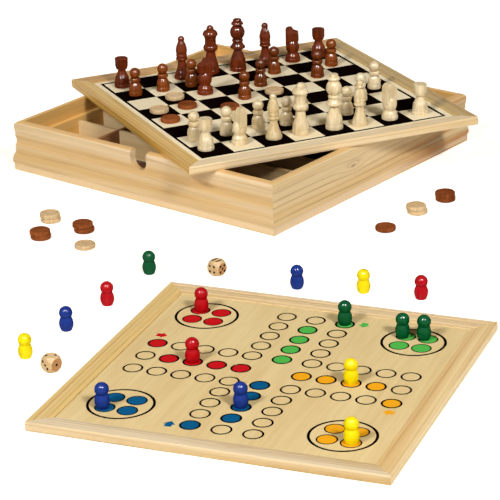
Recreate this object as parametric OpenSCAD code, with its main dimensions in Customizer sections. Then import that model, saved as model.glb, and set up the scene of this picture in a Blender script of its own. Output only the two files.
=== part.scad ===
// Games compendium box: a pine box with a divided inside, a framed chess
// board that serves as its lid, a second framed board for a circle race
// game, and the turned men, draughts, pegs and dice that belong to them.
// Origin: centre of the box's underside, +Z up, finger notch towards -Y.
// Rest pose: chess board laid twisted across the rim, pieces set out.

/* [Box] */
// Width and depth of the box over its mouldings
box_side = 344; // [336:1:352]
// Height of the box
box_height = 53; // [51:0.5:60]
// Thickness of a wall over its mouldings
wall_t = 10.2; // [9.8:0.1:11]
// How far the hollow in the walls lies behind the belly of the foot
cove_depth = 3.7; // [3.3:0.1:4.2]
// Height of the rounded foot moulding
foot_moulding_h = 19.5; // [18:0.5:20.5]
// Radius of the rounded rim
rim_bead_r = 5; // [4.5:0.1:5.5]
// Thickness of the bottom panel
bottom_t = 4; // [3:0.1:5]
// Width of the rebate that takes the bottom panel
bottom_rebate = 3.5; // [2.5:0.1:4]
// Width of the finger notch in the front wall
notch_w = 20.6; // [16:0.2:26]
// Depth of the finger notch below the rim
notch_depth = 20; // [18:0.5:24]

/* [Inside of the box] */
// Thickness of the slats that carry the boards
ledge_t = 5.2; // [4:0.1:7]
// Thickness of the dividers
divider_t = 4; // [3:0.1:5]
// How far the dividers stay below the top of the slats
divider_drop = 4.2; // [3:0.1:6]
// Distance of the front long divider from the box centre
divider_front_y = -83; // [-95:1:-70]
// Distance of the middle long divider from the box centre
divider_middle_y = -43; // [-55:1:-20]
// Distance of the rear long divider from the box centre
divider_rear_y = 57; // [30:1:80]
// Distance of the left cross divider from the box centre
divider_left_x = -101; // [-120:1:-60]
// Distance of the right cross divider from the box centre
divider_right_x = 60; // [30:1:120]

/* [Boards] */
// Play around the chess board when it lies inside the rim
board_play = 0.8; // [0.5:0.1:1.5]
// How much smaller the race game board is, for finger room
race_smaller = 14; // [8:1:20]
// Thickness of both frames
frame_h = 8.4; // [7.6:0.1:9]
// Width of a frame rail
rail_w = 18; // [16:0.5:20]
// Thickness of the plywood playing panels
panel_t = 3; // [2.5:0.1:3.4]
// Height of the frame's top over the playing surface
panel_recess = 2.5; // [2:0.1:3]
// Depth of the groove that holds a panel
panel_groove = 5; // [3:0.1:6]
// Plain margin between the chess squares and the frame
chess_margin = 9; // [6:0.1:12]
// Turn of the chess board on the box, in degrees
chess_turn = 62.6; // [55:0.1:70]
// Turn of the race game board, in degrees
race_turn = 17.2; // [12:0.1:22]

/* [Chessmen] */
// Height of a king
king_h = 58; // [54:0.5:62]
// Height of a queen
queen_h = 54; // [50:0.5:58]
// Height of a bishop
bishop_h = 47.5; // [44:0.5:51]
// Height of a knight
knight_h = 39; // [36:0.5:42]
// Height of a rook
rook_h = 32.5; // [30:0.5:36]
// Height of a pawn
pawn_h = 30; // [28:0.5:32]
// Radius of the foot under a king or queen
big_foot_r = 9; // [8.5:0.1:10]
// Radius of the foot under a bishop, knight or rook
mid_foot_r = 8.4; // [8:0.1:9]
// Radius of the foot under a pawn
small_foot_r = 7.1; // [6.6:0.1:8]

/* [Small pieces] */
// Radius of a draught
draught_r = 10; // [9:0.1:11]
// Thickness of a draught
draught_h = 4.5; // [4:0.1:6]
// Depth of the turned dish in both faces of a draught
draught_dish = 0.5; // [0.3:0.1:0.8]
// Height of a peg
peg_h = 22.5; // [21:0.1:25]
// Radius of a peg's head
peg_head_r = 6; // [5.5:0.1:6.5]
// Edge of a die
die_edge = 14; // [13:0.1:16]

/* [Hidden] */
$fn = 96;
// Play left where one wooden part slides into another
lap_play = 0.15;
// Overlap of cutting bodies past the face they cut
cut = 1;

half = box_side / 2;
// The rim lies a little behind the belly of the foot
rim_set_in = 2;
rim_half = half - rim_set_in;
rim_bead_x = rim_set_in + rim_bead_r;
rim_bead_z = box_height - rim_bead_r;
// Point on the rounded rim below which the wall is flat
neck_x = rim_bead_x - rim_bead_r * 0.95;
neck_z = rim_bead_z - rim_bead_r * 0.28;
// Foot moulding: an arc whose belly overhangs a set-back plinth
foot_arc_r = 18.5;
foot_belly_z = foot_moulding_h - 9.2;
plinth_in = 1.1;
// Flat face between foot and rim, and the hollow run into it
face_in = 2.75;
hollow_r = 12;
hollow_z = foot_moulding_h + 13;
mitre_depth = wall_t + 4;

inner_half = half - wall_t;
ledge_top = box_height - 2 * frame_h;
ledge_inner = inner_half - ledge_t;
divider_top = ledge_top - divider_drop;
divider_h = divider_top - bottom_t;
lap_depth = divider_h / 2;
slot_w = divider_t + 2 * lap_play;
bottom_side = 2 * (inner_half + bottom_rebate - lap_play);

chess_side = 2 * (inner_half - board_play);
race_side = chess_side - race_smaller;
panel_top = frame_h - panel_recess;
panel_bottom = panel_top - panel_t;
// Convex outer edge of the rails
rail_belly = 0.3;
rail_arc_r = (frame_h * frame_h / 4 + rail_belly * rail_belly) / (2 * rail_belly);
rail_step = 0.5;
rail_lip_z = panel_top + 1;
square = (chess_side - 2 * rail_w - 2 * chess_margin) / 8;
// Fields of the race game: ten lanes, wider apart beside the middle one
field_pitch = (race_side / 2 - rail_w) / 6.24;
arm_pitch = field_pitch * 1.24;

// Where things stand in the rest pose
chess_place = [18.8, 21.6, box_height];
race_place = [rim_half + 197.3, -rim_half - 262.3, 0];
// Column and row of the men, counted from 0; fractions are where a man
// stands off the middle of its square
light_pawn_squares = [
    [-0.1, 1.1], [0.95, 1.05], [2.05, 1.15], [2.95, 1.05], [3.95, 2.05], [5, 1.05], [6, 2.05], [6.95, 2.95]
];
dark_pawn_squares = [
    [0, 6], [0.95, 6], [1.95, 6], [2.9, 4], [3.9, 4.95], [4.85, 5.95], [5.9, 4.9], [6.85, 5.8]
];
light_draught_squares = [[0.95, 5.05], [0, 4.05], [3.95, 4.05]];
dark_draught_squares = [[0.95, 4.05], [-0.05, 3.05], [2.05, 3.25]];

// What lies beside the box is measured from the corner of the rim between
// its front and right walls
light_draughts_down = [[-207.3, -91.8], [78.8, 130.6], [-131.6, -126.2]];
light_draughts_up = [[-207.8, -92.3], [78.2, 129.4]];
dark_draughts_down = [[-184, -131.7], [-161.3, -93.8], [81.8, 176.4], [79.5, 74.8]];
dark_draughts_up = [[-184.2, -132.5], [-163, -94], [81.4, 176.1]];

red_pegs_down = [[-21.1, -220.2], [203.7, -47.6]];
blue_pegs_down = [[-13.4, -284], [96.7, -91.4]];
green_pegs_down = [[-38, -141.4]];
yellow_pegs_down = [[-2.7, -348.4], [152.4, -65]];

die_front_place = [33.8, -355.4];
die_front_turn = -6;
die_rear_place = [15.4, -106.9];
die_rear_turn = -4;

pine = [0.87, 0.74, 0.55];
ply = [0.85, 0.76, 0.57];
pale_wood = [0.92, 0.88, 0.75];
red_wood = [0.45, 0.2, 0.12];
draught_wood = [0.84, 0.7, 0.5];

// ---- outlines for lathe and moulding work ----

// Straight band of a turned outline, from radius a at height p to b at q
module band(p, a, q, b) {
    polygon([[0, p], [a, p], [b, q], [0, q]]);
}

// The same band scooped hollow by depth d
module scoop(p, a, q, b, d) {
    run = sqrt((q - p) * (q - p) + (b - a) * (b - a));
    arc_r = run * run / (8 * d) + d / 2;
    difference() {
        band(p, a, q, b);
        translate([(a + b) / 2, (p + q) / 2])
            translate([q - p, a - b] * (arc_r - d) / run) circle(arc_r, $fn = 180);
    }
}

// The same band swelling out by depth d
module swell(p, a, q, b, d) {
    run = sqrt((q - p) * (q - p) + (b - a) * (b - a));
    arc_r = run * run / (8 * d) + d / 2;
    band(p, a, q, b);
    intersection() {
        translate([(a + b) / 2, (p + q) / 2])
            translate([p - q, b - a] * (arc_r - d) / run) circle(arc_r, $fn = 180);
        translate([0, p]) square([a + b + 2 * d, q - p]);
    }
}

// Round disc seen from the side: radius r, thickness t, edges rounded by e
module pad(p, r, t, e) {
    translate([0, p]) square([r - e, t]);
    translate([0, p + e]) square([r, t - 2 * e]);
    translate([r - e, p + e]) circle(e);
    translate([r - e, p + t - e]) circle(e);
}

// Section of a box wall: x runs inwards from the widest outline, y up
module wall_section() {
    difference() {
        square([wall_t, box_height]);
        // Plinth and rounded foot
        translate([-cut, -cut]) square([plinth_in + cut, foot_belly_z - 2 + cut]);
        difference() {
            translate([-cut, foot_belly_z - 2]) square([4 + cut, foot_moulding_h - foot_belly_z + 2]);
            translate([foot_arc_r, foot_belly_z]) circle(foot_arc_r, $fn = 180);
        }
        // Flat face with a hollow, and a slope out to the rim
        polygon([
            [-cut, foot_moulding_h - 0.5], [1.9, foot_moulding_h - 0.5], [1.9, foot_moulding_h],
            [face_in, foot_moulding_h], [face_in, neck_z - 5], [neck_x, neck_z - 3.2],
            [neck_x, neck_z], [-cut, neck_z]
        ]);
        translate([cove_depth - hollow_r, hollow_z]) circle(hollow_r, $fn = 180);
        // Rounded rim
        difference() {
            translate([-cut, neck_z - 1]) square([rim_bead_x + cut, box_height - neck_z + 2]);
            translate([rim_bead_x, rim_bead_z]) circle(rim_bead_r);
            translate([neck_x, 0]) square([wall_t, neck_z]);
        }
        difference() {
            translate([wall_t - 1, box_height - 1]) square(2);
            translate([wall_t - 1, box_height - 1]) circle(1);
        }
    }
}

// Section of a frame rail: x runs inwards from the outer edge, y up
module rail_section() {
    flat_end = rail_w * 0.72;
    drop = frame_h - rail_step - rail_lip_z;
    fall = sqrt((rail_w - flat_end) * (rail_w - flat_end) + drop * drop);
    dip = 0.5;
    dip_r = fall * fall / (8 * dip) + dip / 2;
    difference() {
        union() {
            intersection() {
                translate([rail_arc_r, frame_h / 2]) circle(rail_arc_r);
                square([rail_w * 0.28, frame_h]);
            }
            translate([rail_w * 0.28, 0]) square([flat_end - rail_w * 0.28, frame_h - rail_step]);
            polygon([[flat_end, 0], [rail_w, 0], [rail_w, rail_lip_z], [flat_end, frame_h - rail_step]]);
        }
        translate([
            (flat_end + rail_w) / 2 + drop / fall * (dip_r - dip),
            (frame_h - rail_step + rail_lip_z) / 2 + (rail_w - flat_end) / fall * (dip_r - dip)
        ]) circle(dip_r);
        translate([rail_w - panel_groove, panel_bottom]) square([panel_groove + cut, panel_t]);
    }
}

// Straight moulding of length side, mitred at both ends, along the -Y edge
module mitred(side, high, deep) {
    edge = side / 2;
    intersection() {
        translate([-edge, -edge, 0]) rotate([90, 0, 90]) linear_extrude(side) children();
        linear_extrude(high) polygon([
            [-edge, -edge], [edge, -edge], [edge - deep, deep - edge], [deep - edge, deep - edge]
        ]);
    }
}

// ---- placing ----

module on_chess_board() {
    translate(chess_place) rotate([0, 0, chess_turn]) children();
}

module on_race_board() {
    translate(race_place) rotate([0, 0, race_turn]) children();
}

// Stands its child on one square of the chess board
module on_square(place) {
    on_chess_board()
        translate([(place.x - 3.5) * square, (place.y - 3.5) * square, panel_top])
        children();
}

// Stands its child on the race board's panel
module on_field(x, y) {
    on_race_board() translate([x, y, panel_top]) children();
}

// Stands its child in a corner of the race board: sx and sy choose the corner,
// x and y are the distances from the frame
module in_home(sx, sy, x, y) {
    edge = race_side / 2 - rail_w;
    on_field(sx * (edge - x), sy * (edge - y)) children();
}

// Lays its child on the table beside the box
module beside_box(place) {
    translate([rim_half + place.x, place.y - rim_half, 0]) children();
}

// ---- box ----

module box_wall() {
    mitred(box_side, box_height, mitre_depth) difference() {
        wall_section();
        translate([wall_t - bottom_rebate, -cut]) square([bottom_rebate + cut, bottom_t + cut]);
    }
}

// Finger notch, cut through the front wall and the slat behind it
module notch() {
    translate([0, cut - half, box_height - notch_depth + notch_w / 2]) {
        rotate([90, 0, 0]) translate([0, 0, -wall_t - ledge_t - 3 * cut])
            cylinder(r = notch_w / 2, h = wall_t + ledge_t + 6 * cut);
        translate([-notch_w / 2, -3 * cut, 0]) cube([notch_w, wall_t + ledge_t + 6 * cut, notch_depth]);
    }
}

module wall_front() {
    color(pine) difference() {
        box_wall();
        notch();
    }
}

module wall_right() {
    color(pine) rotate([0, 0, 90]) box_wall();
}

module wall_back() {
    color(pine) rotate([0, 0, 180]) box_wall();
}

module wall_left() {
    color(pine) rotate([0, 0, 270]) box_wall();
}

module bottom_panel() {
    color(ply) translate([-bottom_side / 2, -bottom_side / 2, 0]) cube([bottom_side, bottom_side, bottom_t]);
}

// Slat along the inside of the -Y wall, as long as given
module slat(long) {
    translate([-long / 2, -inner_half, bottom_t]) cube([long, ledge_t, ledge_top - bottom_t]);
}

module ledge_front() {
    color(pine) difference() {
        slat(2 * inner_half);
        notch();
    }
}

module ledge_back() {
    color(pine) rotate([0, 0, 180]) slat(2 * inner_half);
}

module ledge_left() {
    color(pine) rotate([0, 0, 270]) slat(2 * ledge_inner);
}

module ledge_right() {
    color(pine) rotate([0, 0, 90]) slat(2 * ledge_inner);
}

// Long divider with two slots open at the top
module long_divider(y) {
    long = 2 * ledge_inner - 2 * lap_play;
    difference() {
        translate([-long / 2, y - divider_t / 2, bottom_t]) cube([long, divider_t, divider_h]);
        for (x = [divider_left_x, divider_right_x])
            translate([x - slot_w / 2, y - divider_t, divider_top - lap_depth])
                cube([slot_w, 2 * divider_t, lap_depth + cut]);
    }
}

// Cross divider with three slots open at the bottom
module cross_divider(x) {
    long = 2 * ledge_inner - 2 * lap_play;
    difference() {
        translate([x - divider_t / 2, -long / 2, bottom_t]) cube([divider_t, long, divider_h]);
        for (y = [divider_front_y, divider_middle_y, divider_rear_y])
            translate([x - divider_t, y - slot_w / 2, bottom_t - cut])
                cube([2 * divider_t, slot_w, divider_h - lap_depth + cut]);
    }
}

module divider_front() {
    color(pine) long_divider(divider_front_y);
}

module divider_middle() {
    color(pine) long_divider(divider_middle_y);
}

module divider_rear() {
    color(pine) long_divider(divider_rear_y);
}

module divider_left() {
    color(pine) cross_divider(divider_left_x);
}

module divider_right() {
    color(pine) cross_divider(divider_right_x);
}

// ---- boards ----

module rail(side) {
    mitred(side, frame_h, rail_w + 2) rail_section();
}

// Playing panel, held in the groove of its frame
module panel(side) {
    panel_side = side - 2 * (rail_w - panel_groove) - 4 * lap_play;
    translate([-panel_side / 2, -panel_side / 2, panel_bottom]) cube([panel_side, panel_side, panel_t]);
}

module chess_rail_front() {
    color(pine) on_chess_board() rail(chess_side);
}

module chess_rail_right() {
    color(pine) on_chess_board() rotate([0, 0, 90]) rail(chess_side);
}

module chess_rail_back() {
    color(pine) on_chess_board() rotate([0, 0, 180]) rail(chess_side);
}

module chess_rail_left() {
    color(pine) on_chess_board() rotate([0, 0, 270]) rail(chess_side);
}

module chess_panel() {
    color(ply) on_chess_board() panel(chess_side);
}

module race_rail_front() {
    color(pine) on_race_board() rail(race_side);
}

module race_rail_right() {
    color(pine) on_race_board() rotate([0, 0, 90]) rail(race_side);
}

module race_rail_back() {
    color(pine) on_race_board() rotate([0, 0, 180]) rail(race_side);
}

module race_rail_left() {
    color(pine) on_race_board() rotate([0, 0, 270]) rail(race_side);
}

module race_panel() {
    color(ply) on_race_board() panel(race_side);
}

// ---- chessmen ----

// Turned king: bell, flared collar, bead, ball and a waisted cap
module king() {
    h = king_h;
    r = big_foot_r;
    rotate_extrude() {
        pad(0, r, h * 0.085, 1);
        swell(h * 0.08, r * 0.93, h * 0.24, r * 0.86, 0.3);
        band(h * 0.235, r * 0.86, h * 0.415, r * 0.43);
        band(h * 0.41, r * 0.43, h * 0.435, r * 0.43);
        band(h * 0.43, r * 0.7, h * 0.445, r * 0.88);
        band(h * 0.445, r * 0.88, h * 0.47, r * 0.9);
        scoop(h * 0.47, r * 0.9, h * 0.56, r * 0.56, 0.4);
        swell(h * 0.56, r * 0.55, h * 0.615, r * 0.55, 1.1);
        band(h * 0.61, r * 0.55, h * 0.635, r * 0.55);
        swell(h * 0.63, r * 0.56, h * 0.87, r * 0.5, 3.2);
        scoop(h * 0.865, r * 0.5, h * 0.905, r * 0.74, 0.3);
        swell(h * 0.905, r * 0.74, h * 0.955, r * 0.53, 0.4);
        pad(h * 0.92, r * 0.5, h * 0.08, 0.9);
    }
}

// Turned queen: round collar, straight neckband, bowl-shaped head and ball
module queen() {
    h = queen_h;
    r = big_foot_r;
    rotate_extrude() {
        pad(0, r, h * 0.092, 1);
        swell(h * 0.088, r * 0.94, h * 0.2, r * 0.86, 0.3);
        scoop(h * 0.2, r * 0.86, h * 0.47, r * 0.53, 0.5);
        swell(h * 0.47, r * 0.62, h * 0.6, r * 0.66, 2.2);
        band(h * 0.595, r * 0.67, h * 0.69, r * 0.67);
        band(h * 0.68, r * 0.62, h * 0.71, r * 0.62);
        scoop(h * 0.705, r * 0.66, h * 0.805, r * 0.91, 0.5);
        swell(h * 0.805, r * 0.91, h * 0.905, r * 0.45, 1.2);
        translate([0, h - r * 0.43]) intersection() {
            circle(r * 0.43);
            translate([0, -r]) square([r, 2 * r]);
        }
    }
}

// Turned bishop: collar, ring, bulging head with a slanting cleft, and ball
module bishop() {
    h = bishop_h;
    r = mid_foot_r;
    difference() {
        rotate_extrude() {
            pad(0, r, h * 0.088, 1);
            swell(h * 0.084, r * 0.92, h * 0.19, r * 0.74, 0.3);
            scoop(h * 0.19, r * 0.74, h * 0.445, r * 0.47, 0.5);
            pad(h * 0.44, r * 0.74, h * 0.055, 0.9);
            band(h * 0.48, r * 0.65, h * 0.53, r * 0.65);
            pad(h * 0.525, r * 0.7, h * 0.05, 0.9);
            band(h * 0.56, r * 0.65, h * 0.605, r * 0.66);
            swell(h * 0.6, r * 0.66, h * 0.72, r * 0.68, 0.5);
            swell(h * 0.72, r * 0.68, h * 0.89, r * 0.32, 0.4);
            translate([0, h - r * 0.43]) intersection() {
                circle(r * 0.43);
                translate([0, -r]) square([r, 2 * r]);
            }
        }
        translate([0, 0, h * 0.77]) rotate([0, -40, 0]) translate([0, -r, -0.45]) cube([2 * r, 2 * r, 0.9]);
    }
}

// Turned rook: bell, waist and a plain flared head
module rook() {
    h = rook_h;
    r = mid_foot_r;
    rotate_extrude() {
        pad(0, r, h * 0.125, 1);
        swell(h * 0.12, r * 0.93, h * 0.36, r * 0.84, 0.3);
        scoop(h * 0.36, r * 0.84, h * 0.56, r * 0.5, 0.3);
        band(h * 0.56, r * 0.5, h * 0.63, r * 0.5);
        band(h * 0.63, r * 0.69, h * 0.74, r * 0.81);
        band(h * 0.74, r * 0.81, h - 0.6, r * 0.83);
        band(h - 0.6, r * 0.83, h, r * 0.76);
    }
}

// Turned pawn: low bell, thick collar and a ball
module pawn() {
    h = pawn_h;
    r = small_foot_r;
    head_r = r * 0.8;
    rotate_extrude() {
        pad(0, r, h * 0.155, 0.9);
        swell(h * 0.15, r * 0.94, h * 0.455, r * 0.64, 1);
        band(h * 0.45, r * 0.6, h * 0.51, r * 0.6);
        pad(h * 0.49, r * 0.78, h * 0.15, 1.3);
        translate([0, h - head_r]) intersection() {
            circle(head_r);
            translate([0, -head_r]) square([head_r, 2 * head_r]);
        }
    }
}

// Side outline of the carved horse's head, nose towards +X; h runs from
// the bottom of the cut faces to the ears, w is the foot's radius
module horse_outline(h, w) {
    difference() {
        polygon([
            [-w * 0.7, 0], [-w * 0.88, h * 0.14], [-w * 0.88, h * 0.86], [-w * 0.78, h * 0.95],
            [-w * 0.44, h], [-w * 0.08, h * 0.99], [w * 0.1, h * 0.87], [w * 0.24, h * 0.83],
            [w * 0.72, h * 0.77], [w * 0.8, h * 0.71], [w * 0.82, h * 0.38], [w * 0.72, h * 0.33],
            [-w * 0.1, h * 0.31], [w * 0.55, h * 0.26], [w * 0.7, 0]
        ]);
        translate([-w * 0.1, h * 0.305]) circle(h * 0.035);
        translate([w * 0.82, h * 0.5]) circle(h * 0.022);
    }
}

// Front outline of the same head, narrower towards the ears
module horse_front(h, w) {
    polygon([
        [-w * 1.05, 0], [-w, h * 0.2], [-w, h * 0.72], [-w * 0.8, h * 0.84], [-w * 0.6, h * 1.1],
        [w * 0.6, h * 1.1], [w * 0.8, h * 0.84], [w, h * 0.72], [w, h * 0.2], [w * 1.05, 0]
    ]);
}

// Knight: turned foot and chest below a head sawn and rounded from two sides
module knight() {
    h = knight_h;
    r = mid_foot_r;
    cut_z = h * 0.4;
    head_h = h - cut_z;
    rotate_extrude() {
        pad(0, r, h * 0.12, 1);
        swell(h * 0.115, r * 0.92, h * 0.22, r * 0.78, 0.5);
        scoop(h * 0.22, r * 0.78, h * 0.275, r * 0.68, 0.3);
        swell(h * 0.275, r * 0.7, h * 0.6, r * 0.58, 1.9);
    }
    translate([0, 0, cut_z]) difference() {
        intersection() {
            translate([0, r, 0]) rotate([90, 0, 0]) linear_extrude(2 * r) horse_outline(head_h, r);
            translate([-r * 1.2, 0, 0]) rotate([90, 0, 90]) linear_extrude(2.4 * r)
                horse_front(head_h, r * 0.51);
            cylinder(r = r * 0.99, h = head_h + 1);
        }
        // Groove that parts the ears, and a drilled eye on each cheek
        translate([-r, 0, head_h + 0.5]) rotate([0, 90, 0]) cylinder(r = 1.2, h = r * 1.2);
        translate([r * 0.22, r, head_h * 0.66]) rotate([90, 0, 0]) cylinder(r = 0.55, h = 2 * r - 0.5);
    }
}

module light_king() {
    color(pale_wood) on_square([4.05, 0]) king();
}

module light_queen() {
    color(pale_wood) on_square([2.95, 0.05]) queen();
}

module light_bishops() {
    color(pale_wood) {
        on_square([2.05, 0.05]) rotate([0, 0, 60]) bishop();
        on_square([4.9, -0.05]) rotate([0, 0, -100]) bishop();
    }
}

module light_knights() {
    color(pale_wood) {
        on_square([0.95, 0.1]) rotate([0, 0, 104]) knight();
        on_square([5.95, 0]) rotate([0, 0, 18]) knight();
    }
}

module light_rooks() {
    color(pale_wood) {
        on_square([-0.15, 0.1]) rook();
        on_square([7, 0]) rook();
    }
}

module light_pawns() {
    color(pale_wood) for (place = light_pawn_squares) on_square(place) pawn();
}

module dark_king() {
    color(red_wood) on_square([3.95, 6.8]) king();
}

module dark_queen() {
    color(red_wood) on_square([3.05, 6.95]) queen();
}

module dark_bishops() {
    color(red_wood) {
        on_square([2, 6.9]) rotate([0, 0, 120]) bishop();
        on_square([5, 6.95]) rotate([0, 0, -40]) bishop();
    }
}

module dark_knights() {
    color(red_wood) {
        on_square([5.95, 6.85]) rotate([0, 0, -24]) knight();
        on_square([2, 5.05]) rotate([0, 0, 200]) knight();
    }
}

module dark_rooks() {
    color(red_wood) {
        on_square([-0.05, 7]) rook();
        on_square([6.9, 6.85]) rook();
    }
}

module dark_pawns() {
    color(red_wood) for (place = dark_pawn_squares) on_square(place) pawn();
}

// ---- draughts ----

// Draught: turned disc with a shallow dish in both faces
module draught() {
    edge_r = 1;
    dish_r = draught_r - 2 * edge_r;
    rotate_extrude() difference() {
        pad(0, draught_r, draught_h, edge_r);
        translate([0, -cut]) square([dish_r, draught_dish + cut]);
        translate([0, draught_h - draught_dish]) square([dish_r, draught_dish + cut]);
    }
}

module light_draughts_board() {
    color(draught_wood) for (place = light_draught_squares) on_square(place) draught();
}

module dark_draughts_board() {
    color(red_wood) for (place = dark_draught_squares) on_square(place) draught();
}

module light_draughts_low() {
    color(draught_wood) for (place = light_draughts_down) beside_box(place) draught();
}

module dark_draughts_low() {
    color(red_wood) for (place = dark_draughts_down) beside_box(place) draught();
}

module light_draughts_stacked() {
    color(draught_wood) translate([0, 0, draught_h])
        for (place = light_draughts_up) beside_box(place) draught();
}

module dark_draughts_stacked() {
    color(red_wood) translate([0, 0, draught_h])
        for (place = dark_draughts_up) beside_box(place) draught();
}

// ---- pegs ----

// Peg: barrel body, cut waist and a ball for a head
module peg() {
    h = peg_h;
    r = peg_head_r;
    waist_z = h - 1.6 * r;
    rotate_extrude() {
        pad(0, r * 0.83, 1.9, 0.9);
        swell(0.9, r * 0.83, waist_z - 0.5, r * 0.8, r * 0.25);
        band(waist_z - 0.6, r * 0.76, waist_z + 0.1, r * 0.76);
        intersection() {
            translate([0, h - r]) circle(r);
            translate([0, waist_z]) square([r, h]);
        }
    }
}

module red_pegs_board() {
    color([0.8, 0.05, 0.1]) {
        in_home(-1, 1, 32, 32) peg();
        on_field(-arm_pitch - 2 * field_pitch, 0) peg();
    }
}

module blue_pegs_board() {
    color([0.1, 0.25, 0.6]) {
        in_home(-1, -1, 29, 30) peg();
        on_field(0, -arm_pitch - 2 * field_pitch) peg();
    }
}

module green_pegs_board() {
    color([0, 0.4, 0.25]) {
        on_field(arm_pitch, arm_pitch + 4 * field_pitch) peg();
        in_home(1, 1, 52.8, 33) peg();
        in_home(1, 1, 34, 31.6) peg();
    }
}

module yellow_pegs_board() {
    color([0.95, 0.88, 0.05]) {
        on_field(arm_pitch + 2 * field_pitch, 0) peg();
        in_home(1, -1, 30, 31) peg();
    }
}

module red_pegs_loose() {
    color([0.8, 0.05, 0.1]) for (place = red_pegs_down) beside_box(place) peg();
}

module blue_pegs_loose() {
    color([0.1, 0.25, 0.6]) for (place = blue_pegs_down) beside_box(place) peg();
}

module green_pegs_loose() {
    color([0, 0.4, 0.25]) for (place = green_pegs_down) beside_box(place) peg();
}

module yellow_pegs_loose() {
    color([0.95, 0.88, 0.05]) for (place = yellow_pegs_down) beside_box(place) peg();
}

// ---- dice ----

// Pips drilled into the +Z face of a die that is centred on the origin
module pips(count) {
    off = die_edge * 0.19;
    spots = [
        [[0, 0]],
        [[-off, -off], [off, off]],
        [[-off, -off], [0, 0], [off, off]],
        [[-off, -off], [off, -off], [-off, off], [off, off]],
        [[-off, -off], [off, -off], [0, 0], [-off, off], [off, off]],
        [[-off, -off], [off, -off], [-off, 0], [off, 0], [-off, off], [off, off]]
    ];
    for (spot = spots[count - 1])
        translate([spot.x, spot.y, die_edge / 2 - 0.6]) cylinder(r = die_edge * 0.09, h = cut, $fn = 24);
}

// Die with rounded corners; top, south and east give the pips of those faces
module die(top, south, east) {
    translate([0, 0, die_edge / 2]) difference() {
        intersection() {
            cube(die_edge, center = true);
            sphere(die_edge * 0.645);
        }
        pips(top);
        rotate([180, 0, 0]) pips(7 - top);
        rotate([90, 0, 0]) rotate([0, 0, 90]) pips(south);
        rotate([-90, 0, 0]) pips(7 - south);
        rotate([0, 90, 0]) pips(east);
        rotate([0, -90, 0]) pips(7 - east);
    }
}

module die_front() {
    color(pine) beside_box(die_front_place) rotate([0, 0, die_front_turn]) die(2, 3, 1);
}

module die_rear() {
    color(pine) beside_box(die_rear_place) rotate([0, 0, die_rear_turn]) die(6, 4, 5);
}

wall_front();
wall_back();
wall_left();
wall_right();
bottom_panel();
ledge_front();
ledge_back();
ledge_left();
ledge_right();
divider_front();
divider_middle();
divider_rear();
divider_left();
divider_right();
chess_rail_front();
chess_rail_back();
chess_rail_left();
chess_rail_right();
chess_panel();
race_rail_front();
race_rail_back();
race_rail_left();
race_rail_right();
race_panel();
light_king();
light_queen();
light_bishops();
light_knights();
light_rooks();
light_pawns();
dark_king();
dark_queen();
dark_bishops();
dark_knights();
dark_rooks();
dark_pawns();
light_draughts_board();
dark_draughts_board();
light_draughts_low();
dark_draughts_low();
light_draughts_stacked();
dark_draughts_stacked();
red_pegs_board();
blue_pegs_board();
green_pegs_board();
yellow_pegs_board();
red_pegs_loose();
blue_pegs_loose();
green_pegs_loose();
yellow_pegs_loose();
die_front();
die_rear();
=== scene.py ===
import math

import bpy
from mathutils import Matrix, Vector

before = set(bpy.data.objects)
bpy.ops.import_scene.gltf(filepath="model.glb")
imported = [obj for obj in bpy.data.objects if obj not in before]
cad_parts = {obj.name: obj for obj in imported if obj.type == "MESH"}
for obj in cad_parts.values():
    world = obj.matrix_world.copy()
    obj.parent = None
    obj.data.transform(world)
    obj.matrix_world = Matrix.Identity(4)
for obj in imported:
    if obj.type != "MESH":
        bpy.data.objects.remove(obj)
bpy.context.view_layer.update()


# Box walls
# Four lengths of moulded pine, mitred and glued at the corners, with a
# finger notch cut into the front one. Clear satin lacquer over open grain,
# and here and there a knot that the grain bends round.

def paint(red, green, blue):
    """A colour as a paint chart gives it, 0 to 255, for a shader socket."""
    linear = []
    for part in (red / 255, green / 255, blue / 255):
        linear.append(part / 12.92 if part <= 0.04045 else ((part + 0.055) / 1.055) ** 2.4)
    return (*linear, 1.0)


class Num:
    """A number that changes over a surface. Sums with it become Math nodes."""

    def __init__(self, tree, socket):
        self.tree = tree
        self.socket = socket

    def op(self, kind, *others):
        """What a Math node of this kind makes of this number and the others."""
        values = dict(enumerate((self,) + others))
        return Num(self.tree, add(self.tree, "Math", values, operation=kind).outputs[0])

    def __add__(self, other):
        return self.op("ADD", other)

    def __sub__(self, other):
        return self.op("SUBTRACT", other)

    def __mul__(self, other):
        return self.op("MULTIPLY", other)

    def __truediv__(self, other):
        return self.op("DIVIDE", other)

    def __lt__(self, other):
        return self.op("LESS_THAN", other)

    def __gt__(self, other):
        return self.op("GREATER_THAN", other)

    def __abs__(self):
        return self.op("ABSOLUTE")

    def within(self, low, high):
        """1 where this lies between low and high, 0 elsewhere."""
        return (self > low) * (self < high)

    def clamp(self, top=1.0):
        """This, held between 0 and top."""
        return self.op("MAXIMUM", 0.0).op("MINIMUM", top)

    def flip(self):
        """One minus this."""
        return self.op("MULTIPLY_ADD", -1.0, 1.0)


def feed(tree, slot, value):
    """Links a Num or a socket to an input, or sets a plain value in it."""
    if isinstance(value, Num):
        value = value.socket
    if isinstance(value, bpy.types.NodeSocket):
        tree.links.new(value, slot)
    else:
        slot.default_value = value


def add(tree, kind, values=None, **settings):
    """Adds a shader node, sets it up, and feeds its inputs."""
    node = tree.nodes.new("ShaderNode" + kind)
    for name, value in settings.items():
        setattr(node, name, value)
    for name, value in (values or {}).items():
        feed(tree, node.inputs[name], value)
    return node


def axes(tree, vector):
    """The three coordinates of a point, each as a Num."""
    split = add(tree, "SeparateXYZ", {0: vector})
    return [Num(tree, coordinate) for coordinate in split.outputs]


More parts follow.
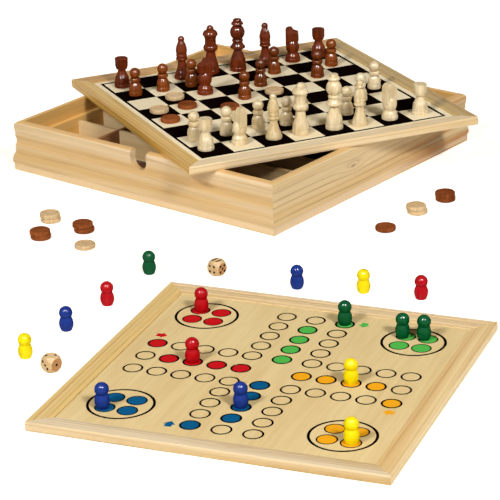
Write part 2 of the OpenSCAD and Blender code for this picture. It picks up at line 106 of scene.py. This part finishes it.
def distance(tree, vector):
    """How far a point lies from the middle."""
    return Num(tree, add(tree, "VectorMath", {0: vector}, operation="LENGTH").outputs["Value"])


def noise(tree, vector, waves, detail=2.0):
    """Soft noise with its own number of waves a metre along each axis."""
    spread = add(tree, "VectorMath", {0: vector, 1: waves}, operation="MULTIPLY")
    cloud = add(tree, "TexNoise", {"Vector": spread.outputs[0], "Scale": 1.0, "Detail": detail})
    return Num(tree, cloud.outputs["Fac"])


def blend(tree, mask, first, second):
    """Goes from the first colour to the second where mask goes from 0 to 1."""
    return add(tree, "Mix", {0: mask, 6: first, 7: second}, data_type="RGBA").outputs[2]


def new_group(name, inputs, outputs):
    """A shader node group with named sockets: (name, type, default)."""
    group = bpy.data.node_groups.new(name, "ShaderNodeTree")
    for label, kind, value in inputs:
        socket = group.interface.new_socket(label, in_out="INPUT", socket_type="NodeSocket" + kind)
        socket.default_value = value
    for label, kind in outputs:
        group.interface.new_socket(label, in_out="OUTPUT", socket_type="NodeSocket" + kind)
    given = group.nodes.new("NodeGroupInput").outputs
    result = group.nodes.new("NodeGroupOutput").inputs
    return group, given, result


# Grain of a sawn board: X runs along the grain, Position is in metres. Pale
# and Honey are the broad bands of the board, Dark its late wood.
grain_results = [("Color", "Color"), ("Roughness", "Float"), ("Height", "Float")]
no_knot = (0, 0, -9)
knot_brown = paint(122, 74, 36)
tree, given, result = new_group(
    "pine_grain",
    [
        ("Position", "Vector", (0, 0, 0)),
        ("Pale", "Color", paint(226, 192, 142)),
        ("Honey", "Color", paint(214, 170, 108)),
        ("Dark", "Color", paint(170, 118, 62)),
        ("Lines", "Float", 0.6),
        ("Bands", "Float", 4.0),
        ("Rings", "Float", 180.0),
        ("Bend", "Float", 4.0),
        ("Knot", "Vector", no_knot),
        ("Knot Size", "Float", 0.005),
    ],
    grain_results,
)
pine_grain = tree
point = given["Position"]

# A knot is longer than wide, and pushes the rings aside
from_knot = add(tree, "VectorMath", {0: point, 1: given["Knot"]}, operation="SUBTRACT").outputs[0]
shortened = add(tree, "VectorMath", {0: from_knot, 1: (0.3, 1, 1)}, operation="MULTIPLY").outputs[0]
knot_away = distance(tree, shortened) / Num(tree, given["Knot Size"])
knot_core = (knot_away * -1.3 + 1.25).clamp() * 0.7
push = (knot_away * knot_away * 0.2 + 1.0).op("POWER", -1.0)

# Each ring darkens slowly, ends sharply, and fades out in places
rings = Num(tree, given["Rings"])
bend = noise(tree, point, (1.7, 13, 13), detail=1.5) * Num(tree, given["Bend"])
ripple = noise(tree, point, (9, 70, 70))
_, across, deep = axes(tree, point)
ring = (across + deep * 0.9) * rings + bend + ripple * 0.35 + push * 1.6
saw = ring.op("FRACT")
fade = noise(tree, point, (3, 60, 60), detail=1.0)
late_wood = saw.op("POWER", 5.0) * (saw < 0.96) * (fade * 2.4 - 0.55).clamp()

# Broad bands of two tones, with streaks and fibres over them
tone = noise(tree, point, (1.1, 34, 34), detail=1.5)
streak = noise(tree, point, (4, 190, 190))
fibre = noise(tree, point, (30, 1400, 1400), detail=3.0)
broad = (tone - 0.5) * Num(tree, given["Bands"]) + (streak - 0.5) * 1.4 + 0.5
fine = late_wood * Num(tree, given["Lines"]) + (fibre - 0.5) * 0.35 + (streak - 0.55) * 0.5
banded = blend(tree, broad.clamp(), given["Pale"], given["Honey"])
lined = blend(tree, fine.clamp(), banded, given["Dark"])
feed(tree, result["Color"], blend(tree, knot_core, lined, knot_brown))
feed(tree, result["Roughness"], fibre * 0.14 + late_wood * 0.08 + 0.36)
feed(tree, result["Height"], fibre * 0.6 - late_wood * 0.6)


def new_material(name, **sockets):
    """A material with a Principled surface whose plain values are set here."""
    material = bpy.data.materials.new(name)
    material.use_nodes = True
    surface = material.node_tree.nodes["Principled BSDF"]
    for label, value in sockets.items():
        surface.inputs[label.replace("_", " ")].default_value = value
    return material, material.node_tree, surface


def here(tree):
    """The point on the surface, in the frame's own metres."""
    return add(tree, "TexCoord").outputs["Object"]


def place_in(tree, centre=(0, 0, 0), turn=0.0):
    """The point on the surface, seen from a piece's own centre and axes."""
    moved = add(tree, "VectorMath", {0: here(tree), 1: centre}, operation="SUBTRACT").outputs[0]
    return add(tree, "VectorRotate", {"Vector": moved, "Angle": -turn}, rotation_type="Z_AXIS").outputs[0]


def finish_surface(tree, surface, grain, depth):
    """Feeds a grain group into the surface's colour, sheen and bump."""
    feed(tree, surface.inputs["Base Color"], grain.outputs["Color"])
    feed(tree, surface.inputs["Roughness"], grain.outputs["Roughness"])
    relief = {"Height": grain.outputs["Height"], "Strength": 0.35, "Distance": depth}
    feed(tree, surface.inputs["Normal"], add(tree, "Bump", relief).outputs[0])


def pine(name, turn, shift, knot=no_knot, knot_size=0.005, centre=(0, 0, 0), **look):
    """Lacquered pine, its grain along X after turn. Shift picks a place in the plank."""
    material, tree, surface = new_material(
        name, Coat_Weight=0.06, Coat_Roughness=0.3, Specular_IOR_Level=0.3
    )
    local = place_in(tree, centre, turn)
    values = {label.capitalize(): value for label, value in look.items()}
    values["Position"] = add(tree, "VectorMath", {0: local, 1: shift}, operation="ADD").outputs[0]
    values["Knot"] = tuple(k + s for k, s in zip(knot, shift))
    values["Knot Size"] = knot_size
    grain = add(tree, "Group", values, node_tree=pine_grain)
    finish_surface(tree, surface, grain, depth=0.0003)
    return material


def stain(material, share, tone):
    """Lays a tone over a material's colour as far as share says, from 0 to 1."""
    tree = material.node_tree
    slot = tree.nodes["Principled BSDF"].inputs["Base Color"]
    feed(tree, slot, blend(tree, share, slot.links[0].from_socket, tone))


def honey_rim(material, strength):
    """Deepens the wood on a wall's rim, fully so a millimetre above its start."""
    rim_starts = 0.0512
    rim_steepness = 900.0
    tree = material.node_tree
    height = axes(tree, here(tree))[2]
    stain(material, ((height - rim_starts) * rim_steepness).clamp(strength), paint(214, 164, 86))


def honey_band(material, honey, low, tall, strength):
    """Lays a broad band of colour along a wall, with edges that wander a little."""
    tree = material.node_tree
    height = axes(tree, here(tree))[2]
    drift = noise(tree, here(tree), (5, 5, 60)) * 0.006 - 0.003
    off_middle = abs(height + drift - low - tall / 2) / tall
    stain(material, ((off_middle - 0.5) * -5.0).clamp() * strength, honey)


def shaded_streaky_end(material, honey, start, fade_length, strength):
    """Lets a wall's wood turn streaky and darker towards its far end: streaky grain, darkened there as
    painted shadow of the lid.
    """
    tree = material.node_tree
    along = axes(tree, here(tree))[1]
    streaks = noise(tree, here(tree), (30, 6, 150), detail=3.0)
    end = ((along - start) / fade_length).clamp()
    stain(material, end * ((streaks - 0.36) * 3.5).clamp() * strength, honey)


def dress(node, material):
    """Gives a CAD piece its finish."""
    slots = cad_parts[node].data.materials
    slots.clear()
    slots.append(material)


crosswise = math.pi / 2
# The front wall's knot, large and soft below the lid's near corner, is partly a knot and partly painted
# shadow of the lid.
front_wall = pine(
    "pine_wall_front", 0, (0.4, 0.11, 0.03), knot=(0.089, -0.169, 0.035), knot_size=0.004,
    pale=paint(225, 199, 159), honey=paint(204, 169, 112), dark=paint(164, 118, 64),
    lines=0.6, bands=2.8, rings=120.0, bend=2.5,
)
honey_band(front_wall, paint(206, 163, 98), low=0.026, tall=0.014, strength=0.55)
honey_band(front_wall, paint(236, 210, 170), low=-0.002, tall=0.012, strength=0.5)
honey_rim(front_wall, strength=0.8)
dress("wall_front", front_wall)

right_wall = pine(
    "pine_wall_right", crosswise, (2.1, 0.6, 0.4), knot=(-0.035, -0.168, 0.032), knot_size=0.002,
    pale=paint(225, 200, 153), honey=paint(207, 167, 100), dark=paint(150, 100, 48),
    lines=0.9, rings=150.0, bend=1.0,
)
honey_band(right_wall, paint(240, 218, 186), low=-0.002, tall=0.013, strength=0.6)
# Darker far end: painted shadow of the lid over streaky wood.
shaded_streaky_end(right_wall, paint(190, 128, 52), start=0.02, fade_length=0.08, strength=0.9)
honey_rim(right_wall, strength=0.6)
dress("wall_right", right_wall)

for side, turn, shift in (("back", 0, (1.3, 0.2, 0.07)), ("left", crosswise, (3.3, 0.31, 0.9))):
    wall = pine("pine_wall_" + side, turn, shift, pale=paint(230, 188, 116), honey=paint(214, 162, 82))
    honey_rim(wall, strength=0.6)
    dress("wall_" + side, wall)


# Bottom panel
# A sheet of brown hardboard, let into a rebate in the foot of the walls so
# that the box stands on one flat face. Its brown is made darker than the
# board's own, as painted shade for the bays under the lid.

shade_dark_hardboard = pine(
    "shade_dark_hardboard_bottom", 0, (5.2, 0.5, 0.1),
    pale=paint(72, 52, 34), honey=paint(60, 42, 26), dark=paint(42, 28, 16), lines=0.1,
)
dress("bottom_panel", shade_dark_hardboard)


# Slats
# Four planed slats that stand inside the walls and carry the boards. The
# back one is pale, the left one honey like its wall. The right one is browner
# and the front one dark brown, as painted shade under the lid and in the finger notch.

def planed_piece(node, turn, place, tones):
    """Finishes a piece of the box's inside, each cut from its own place in a plank."""
    pale, honey, dark = tones
    shift = (6.0 + place, 0.37 * place, 0.2)
    dress(node, pine("pine_" + node, turn, shift, pale=pale, honey=honey, dark=dark))


pale_wood = (paint(230, 206, 162), paint(214, 178, 122), paint(150, 106, 58))
honey_wood = (paint(230, 188, 116), paint(212, 160, 80), paint(150, 100, 46))
# Browner copy of the pale wood: painted shade for faces that turn from the light under the lid.
shaded_brown_wood = (paint(164, 110, 62), paint(140, 90, 46), paint(92, 56, 26))
# Dark brown: painted shade, seen through the front wall's finger notch.
painted_shade_wood = (paint(112, 66, 34), paint(92, 52, 26), paint(60, 34, 18))
slats = (
    ("front", 0, painted_shade_wood), ("back", 0, pale_wood),
    ("left", crosswise, honey_wood), ("right", crosswise, shaded_brown_wood),
)
for place, (side, turn, tones) in enumerate(slats):
    planed_piece("ledge_" + side, turn, place, tones)


# Dividers
# Three long dividers and two cross ones of thin planed wood, halved into
# each other, so that they make twelve bays. The cross ones are browner, as
# painted shade on their faces that turn away from the light.

dividers = (
    ("front", 0, pale_wood), ("middle", 0, pale_wood), ("rear", 0, pale_wood),
    ("left", crosswise, shaded_brown_wood), ("right", crosswise, shaded_brown_wood),
)
for place, (side, turn, tones) in enumerate(dividers, start=len(slats)):
    planed_piece("divider_" + side, turn, place, tones)


# Board frames
# Both boards are framed in the same moulded pine rail, mitred at the
# corners: a rounded outer edge, a raised bead, and a slope down to the panel.

chess_centre = (0.0188, 0.0216, 0.053)
chess_turn = math.radians(62.6)
race_centre = (0.3673, -0.4323, 0.0)
race_turn = math.radians(17.2)
boards = (("chess", chess_centre, chess_turn, 0.8), ("race", race_centre, race_turn, 0.3))
# Each rail has its own tones. On the chess board the left rail is more golden and the back and right
# rails darker: partly the wood's own tone, partly painted shade.
rail_tones_with_painted_shade = {
    "chess_front": (paint(236, 214, 174), paint(216, 184, 128), paint(166, 118, 60)),
    "chess_left": (paint(232, 196, 112), paint(210, 162, 70), paint(138, 90, 30)),
    "chess_back": (paint(200, 156, 90), paint(168, 122, 56), paint(92, 52, 20)),
    "chess_right": (paint(200, 168, 100), paint(166, 130, 62), paint(100, 68, 26)),
    "race_left": (paint(238, 214, 170), paint(220, 186, 112), paint(176, 130, 58)),
    "race_right": (paint(236, 210, 152), paint(210, 162, 88), paint(172, 106, 34)),
    "race_front": (paint(226, 204, 166), paint(200, 168, 114), paint(150, 104, 52)),
    "race_back": (paint(236, 214, 176), paint(214, 182, 128), paint(160, 112, 58)),
}
rail_knots = {
    "chess_right": (0.05, -0.152, 0.006),
    "chess_back": (-0.04, -0.15, 0.006),
    "race_front": (0.02, -0.146, 0.006),
}
for board, centre, turn, plank in boards:
    for place, side in enumerate(("front", "right", "back", "left")):
        rail = f"{board}_{side}"
        pale, honey, dark = rail_tones_with_painted_shade[rail]
        wood = pine(
            "pine_" + rail, turn + place * crosswise, (0.7 * place, 0.19 * place + 0.05, plank),
            knot=rail_knots.get(rail, no_knot), knot_size=0.0025, centre=centre,
            pale=pale, honey=honey, dark=dark, lines=0.8, rings=230.0, bend=2.5,
        )
        dress(f"{board}_rail_{side}", wood)


# Chess board panel
# Pale plywood, held in the frame's groove and printed with an eight by eight
# field of black squares and a black line round it. Its lacquer is dull.

tree, given, result = new_group(
    "ply_face",
    [
        ("Position", "Vector", (0, 0, 0)),
        ("Pale", "Color", paint(236, 212, 158)),
        ("Dark", "Color", paint(214, 182, 124)),
    ],
    grain_results,
)
ply_face = tree
bands = noise(tree, given["Position"], (5, 26, 26), detail=3.0)
streaks = noise(tree, given["Position"], (16, 260, 260), detail=3.0)
flecks = noise(tree, given["Position"], (60, 1800, 1800))
mask = (bands - 0.4) * 1.1 + (streaks - 0.5) * 0.8 + (flecks - 0.5) * 0.4 + 0.2
feed(tree, result["Color"], blend(tree, mask.clamp(), given["Pale"], given["Dark"]))
feed(tree, result["Roughness"], flecks * 0.16 + 0.34)
feed(tree, result["Height"], flecks * 0.5 + streaks * 0.3)

# Sizes of both prints are in millimetres, from the middle of the board
millimetres = 1000.0
print_black = paint(14, 6, 4)
square = 33.5
half_rank = 4.0
line_from = 133.9
line_to = 136.9
material, tree, surface = new_material("chess_print", Specular_IOR_Level=0.0)
local = place_in(tree, chess_centre, chess_turn)
along, aside = [axis * millimetres for axis in axes(tree, local)[:2]]
reach = abs(along).op("MAXIMUM", abs(aside))
column = (along / square + half_rank).op("FLOOR")
row = (aside / square + half_rank).op("FLOOR")
odd = (column + row).op("MODULO", 2.0)
black = (odd < 0.5) * (reach < half_rank * square) + reach.within(line_from, line_to)
ply = add(
    tree, "Group", {"Position": local, "Pale": paint(254, 242, 210), "Dark": paint(244, 222, 178)},
    node_tree=ply_face,
)
finish_surface(tree, surface, ply, depth=0.0001)
stain(material, black, print_black)
dress("chess_panel", material)


# Race game panel
# Pale plywood, held like the chess panel and printed with a cross of ringed
# fields for four players, a home with four spots in each corner, and an arrow
# at each start.

tree, given, result = new_group(
    "race_print",
    [("Position", "Vector", (0, 0, 0))],
    [("Line", "Float"), ("Red", "Float"), ("Green", "Float"), ("Yellow", "Float"), ("Blue", "Float")],
)
race_print = tree
u, v = [axis * millimetres for axis in axes(tree, given["Position"])[:2]]


def span(first, second):
    """The straight distance that two distances at right angles make."""
    return (first * first + second * second).op("SQRT")


# Fields: steps run out along each arm, whose three lanes lie lane_gap apart
field_pitch = 21.8
lane_gap = 27.0
last_step = 4.0
field_fill = 8.0
field_ring = (7.1, 8.9)
out = abs(u).op("MAXIMUM", abs(v))
aside = abs(u).op("MINIMUM", abs(v))
step = ((out - lane_gap) / field_pitch).op("ROUND").clamp(last_step)
outer_lane = aside > lane_gap / 2
from_field = span(out - lane_gap - step * field_pitch, aside - outer_lane * lane_gap)

# Which arm a point is on, and how far it leans to the side of its start
level = abs(u) > abs(v)
upright = level.flip()
arms = {
    "Red": level * (u < 0.0), "Yellow": level * (u > 0.0),
    "Green": upright * (v > 0.0), "Blue": upright * (v < 0.0),
}
lean = arms["Red"] * v + arms["Green"] * u - arms["Yellow"] * v - arms["Blue"] * u
at_end = step > last_step - 0.5
start = at_end * outer_lane * (lean > 0.0)
middle_lane = outer_lane.flip() * at_end.flip()
coloured = (from_field < field_fill) * (start + middle_lane)

# Homes: a ring in each corner with a square of four spots
home_across = 95.5
home_along = 95.0
home_ring = 27.4
half_line = 1.2
spot_off = 10.0
spot_fill = 8.2
spot_ring = (7.6, 8.9)
home_u = abs(u) - home_across
home_v = abs(v) - home_along
from_spot = span(abs(home_u) - spot_off, abs(home_v) - spot_off)
spots = from_spot < spot_fill
corners = {
    "Red": (u < 0.0) * (v > 0.0), "Yellow": (u > 0.0) * (v < 0.0),
    "Green": (u > 0.0) * (v > 0.0), "Blue": (u < 0.0) * (v < 0.0),
}

# Arrows: a head whose tip points inwards, and a short shaft behind it
arrow_lane = 43.7
arrow_tip = 112.0
arrow_neck = 117.5
arrow_end = 122.0
half_shaft = 3.0
off_arrow = abs(lean - arrow_lane)
head = (off_arrow < out - arrow_tip) * (out < arrow_neck)
arrow = head + (off_arrow < half_shaft) * out.within(arrow_neck, arrow_end)

home_line = abs(span(home_u, home_v) - home_ring) < half_line
line = from_field.within(*field_ring) + home_line + from_spot.within(*spot_ring)
feed(tree, result["Line"], line.op("MINIMUM", 1.0))
for player, arm in arms.items():
    feed(tree, result[player], coloured * arm + spots * corners[player] + arrow * arm)

material, tree, surface = new_material("race_print", Specular_IOR_Level=0.0)
local = place_in(tree, race_centre, race_turn)
grainwise = add(tree, "VectorRotate", {"Vector": local, "Angle": crosswise}, rotation_type="Z_AXIS")
ply = add(tree, "Group", {"Position": grainwise.outputs[0]}, node_tree=ply_face)
finish_surface(tree, surface, ply, depth=0.0001)
printed = add(tree, "Group", {"Position": local}, node_tree=race_print)
inks = {
    "Red": paint(204, 26, 32), "Green": paint(84, 188, 80),
    "Yellow": paint(247, 172, 32), "Blue": paint(16, 92, 140), "Line": print_black,
}
for mark, ink in inks.items():
    stain(material, printed.outputs[mark], ink)
dress("race_panel", material)


# Chessmen
# Turned beech men, two sets: one in clear lacquer, one stained red-brown
# and polished. The grain stands upright in each, as the men are turned
# from long sticks; the knights' heads are carved.

tree, given, result = new_group(
    "turned_wood",
    [
        ("Position", "Vector", (0, 0, 0)),
        ("Pale", "Color", paint(236, 226, 196)),
        ("Dark", "Color", paint(206, 182, 136)),
    ],
    grain_results,
)
turned_wood = tree
stick = noise(tree, given["Position"], (14, 14, 6), detail=1.0)
cloud = noise(tree, given["Position"], (70, 70, 25))
streaks = noise(tree, given["Position"], (420, 420, 40), detail=3.0)
flecks = noise(tree, given["Position"], (1600, 1600, 260))
mask = (cloud - 0.42) * 1.1 + (streaks - 0.5) * 1.5 + (flecks - 0.5) * 0.5 + (stick - 0.5) * 1.6 + 0.15
feed(tree, result["Color"], blend(tree, mask.clamp(), given["Pale"], given["Dark"]))
feed(tree, result["Roughness"], flecks * 0.1 + streaks * 0.08)
feed(tree, result["Height"], streaks * 0.5 + flecks * 0.4)


def lacquer(tree, surface, coat):
    """A clear coat whose gloss fades where the surface curves away."""
    edge = Num(tree, add(tree, "LayerWeight", {"Blend": 0.4}).outputs["Facing"])
    feed(tree, surface.inputs["Coat Weight"], (edge * -1.4 + 1.0).op("MAXIMUM", 0.0) * coat)


def turned(name, pale, dark, roughness, gloss=0.0, coat=0.0):
    """Turned wood with upright grain, under as much lacquer as coat says."""
    material, tree, surface = new_material(name, Specular_IOR_Level=gloss, Coat_Roughness=0.16)
    values = {"Position": place_in(tree), "Pale": pale, "Dark": dark}
    grain = add(tree, "Group", values, node_tree=turned_wood)
    finish_surface(tree, surface, grain, depth=0.00008)
    if coat:
        lacquer(tree, surface, coat)
    feed(tree, surface.inputs["Roughness"], Num(tree, grain.outputs["Roughness"]) + roughness)
    return material


men_light = turned("men_light", paint(235, 219, 184), paint(201, 173, 120), roughness=0.24, coat=0.3)
men_dark = turned("men_dark", paint(122, 50, 18), paint(36, 8, 3), roughness=0.2, coat=0.34)
pawns_dark = turned("pawns_dark", paint(136, 68, 24), paint(50, 15, 4), roughness=0.2, coat=0.34)
for rank in ("king", "queen", "bishops", "knights", "rooks", "pawns"):
    dress("light_" + rank, men_light)
    dress("dark_" + rank, pawns_dark if rank == "pawns" else men_dark)


# Draughts
# Small discs turned from the same beech, dished on both faces. The light
# ones are left natural, the dark ones stained; both have a dull polish.

draught_light = turned(
    "draught_light", paint(222, 192, 148), paint(188, 150, 100), roughness=0.4, gloss=0.1
)
draught_dark = turned("draught_dark", paint(152, 85, 45), paint(88, 35, 14), roughness=0.3)
for spot in ("board", "low", "stacked"):
    dress("light_draughts_" + spot, draught_light)
    dress("dark_draughts_" + spot, draught_dark)


# Pegs
# Turned pegs with a ball head, dipped in gloss paint in the four players'
# colours. The paint is thick and a little uneven, so the gloss ripples.

tree, given, result = new_group(
    "gloss_skin",
    [
        ("Position", "Vector", (0, 0, 0)),
        ("Paint", "Color", (1, 0, 0, 1)),
        ("Worn", "Color", (0.5, 0, 0, 1)),
    ],
    grain_results,
)
gloss_skin = tree
pool = noise(tree, given["Position"], (90, 90, 60))
skin = noise(tree, given["Position"], (500, 500, 300), detail=1.0)
feed(tree, result["Color"], blend(tree, ((pool - 0.45) * 1.6).clamp(), given["Paint"], given["Worn"]))
feed(tree, result["Roughness"], skin * 0.1 + 0.12)
feed(tree, result["Height"], skin)

for player, bright, worn in (
    ("red", paint(180, 7, 20), paint(152, 2, 13)),
    ("blue", paint(24, 52, 136), paint(14, 34, 108)),
    ("green", paint(0, 84, 44), paint(0, 64, 32)),
    ("yellow", paint(246, 224, 9), paint(234, 204, 0)),
):
    material, tree, surface = new_material("peg_" + player, Coat_Roughness=0.12, Specular_IOR_Level=0.0)
    values = {"Position": place_in(tree), "Paint": bright, "Worn": worn}
    finish_surface(tree, surface, add(tree, "Group", values, node_tree=gloss_skin), depth=0.00005)
    lacquer(tree, surface, coat=0.3)
    dress(player + "_pegs_board", material)
    dress(player + "_pegs_loose", material)


# Dice
# Two beech cubes tumbled until their corners are round. The pips are
# drilled and filled with black, and end grain shows on two faces.

half_edge = 0.007
end_face = half_edge - 0.00001
pip_floor = half_edge - 0.00007
round_corner = 0.00884
for node, centre, turn in (
    ("die_front", (0.2038, -0.5254, half_edge), math.radians(-6)),
    ("die_rear", (0.1854, -0.2769, half_edge), math.radians(-4)),
):
    material, tree, surface = new_material(
        "wood_" + node, Coat_Weight=0.05, Coat_Roughness=0.3, Specular_IOR_Level=0.1
    )
    local = place_in(tree, centre, turn)
    lying = add(tree, "VectorRotate", {"Vector": local, "Angle": crosswise}, rotation_type="Y_AXIS")
    values = {
        "Position": lying.outputs[0], "Pale": paint(228, 196, 148), "Dark": paint(198, 158, 106)
    }
    grain = add(tree, "Group", values, node_tree=turned_wood)
    finish_surface(tree, surface, grain, depth=0.00008)
    feed(tree, surface.inputs["Roughness"], Num(tree, grain.outputs["Roughness"]) + 0.4)
    x, y, z = [abs(axis) for axis in axes(tree, local)]
    drilled = x.op("MAXIMUM", y).op("MAXIMUM", z) < pip_floor
    stain(material, (x > end_face) * 0.7, paint(176, 112, 58))
    stain(material, drilled * (distance(tree, local) < round_corner), paint(30, 14, 8))
    dress(node, material)


# Floor
# A plain white floor, a hair below the set so that it touches nothing. It
# takes the set's shadow, and its glow is only for the camera and for gloss.

def seen_directly(tree):
    """1 for rays from the camera and those that gloss or glass sends on."""
    path = add(tree, "LightPath").outputs
    camera_or_gloss = Num(tree, path["Is Camera Ray"]).op("MAXIMUM", path["Is Glossy Ray"])
    return camera_or_gloss.op("MAXIMUM", path["Is Transmission Ray"])


gap_below_set = 0.0004
floor_glow = 0.62
bpy.ops.mesh.primitive_plane_add(size=12, location=(0, 0, -gap_below_set))
floor = bpy.context.object
floor.name = "floor"
material, tree, surface = new_material(
    "floor_white", Base_Color=(0.9, 0.87, 0.8, 1), Roughness=0.9, Specular_IOR_Level=0.0
)
glow = add(tree, "Emission", {"Color": (1, 1, 1, 1), "Strength": seen_directly(tree) * floor_glow})
both = add(tree, "AddShader", {0: surface.outputs[0], 1: glow.outputs[0]})
feed(tree, tree.nodes["Material Output"].inputs["Surface"], both.outputs[0])
floor.data.materials.append(material)


# Light
# A white sky, dim and warm where it lights the set, and two square soft
# boxes, one on each side of the camera. Two brighter ones above them show in
# gloss alone: they give the lacquer and the paint their highlights.

world = bpy.data.worlds.new("studio")
bpy.context.scene.world = world
world.use_nodes = True
tree = world.node_tree
sky = tree.nodes["Background"]
sky_light = 0.12
warm = (1.0, 0.84, 0.6, 1)
white = (1, 1, 1, 1)
seen = seen_directly(tree)
feed(tree, sky.inputs["Strength"], seen * (1.0 - sky_light) + sky_light)
feed(tree, sky.inputs["Color"], blend(tree, seen, warm, white))


def towards(azimuth, elevation):
    """The direction from the set to a lamp or the camera, angles in degrees."""
    turn, rise = math.radians(azimuth), math.radians(elevation)
    return Vector((
        math.sin(turn) * math.cos(rise), -math.cos(turn) * math.cos(rise), math.sin(rise)
    ))


aim = Vector((0.1, -0.15, 0.03))
lamp_distance = 4.0
for name, azimuth, elevation, size, power, lights_wood in (
    ("softbox_left", 3, 38, 0.6, 83, True),
    ("softbox_right", 66, 38, 0.6, 94, True),
    ("glint_left", 6, 50, 0.7, 420, False),
    ("glint_right", 62, 50, 0.7, 420, False),
):
    light = bpy.data.lights.new(name, "AREA")
    light.shape = "SQUARE"
    light.size = size
    light.energy = power
    lamp = bpy.data.objects.new(name, light)
    bpy.context.collection.objects.link(lamp)
    lamp.visible_diffuse = lights_wood
    lamp.location = aim + towards(azimuth, elevation) * lamp_distance
    lamp.rotation_euler = towards(azimuth, elevation).to_track_quat("Z", "Y").to_euler()


# Camera
# Stands where the photograph's own camera was: its place, direction, roll
# and long lens were fitted to the box, the chess squares and the race fields.

back = towards(38.416, 21.698)
roll = math.radians(-1.48)
level = Vector((0, 0, 1)).cross(back).normalized()
upward = back.cross(level)
right = level * math.cos(roll) + upward * math.sin(roll)
up = upward * math.cos(roll) - level * math.sin(roll)
lens = bpy.data.cameras.new("camera")
lens.lens = 170.17
lens.sensor_width = 36
lens.clip_end = 30
camera = bpy.data.objects.new("camera", lens)
bpy.context.collection.objects.link(camera)
place = Matrix.Translation((1.4745, -1.8524, 0.8331))
camera.matrix_world = place @ Matrix((right, up, back)).transposed().to_4x4()
bpy.context.scene.camera = camera
bpy.context.scene.view_settings.view_transform = "Standard"
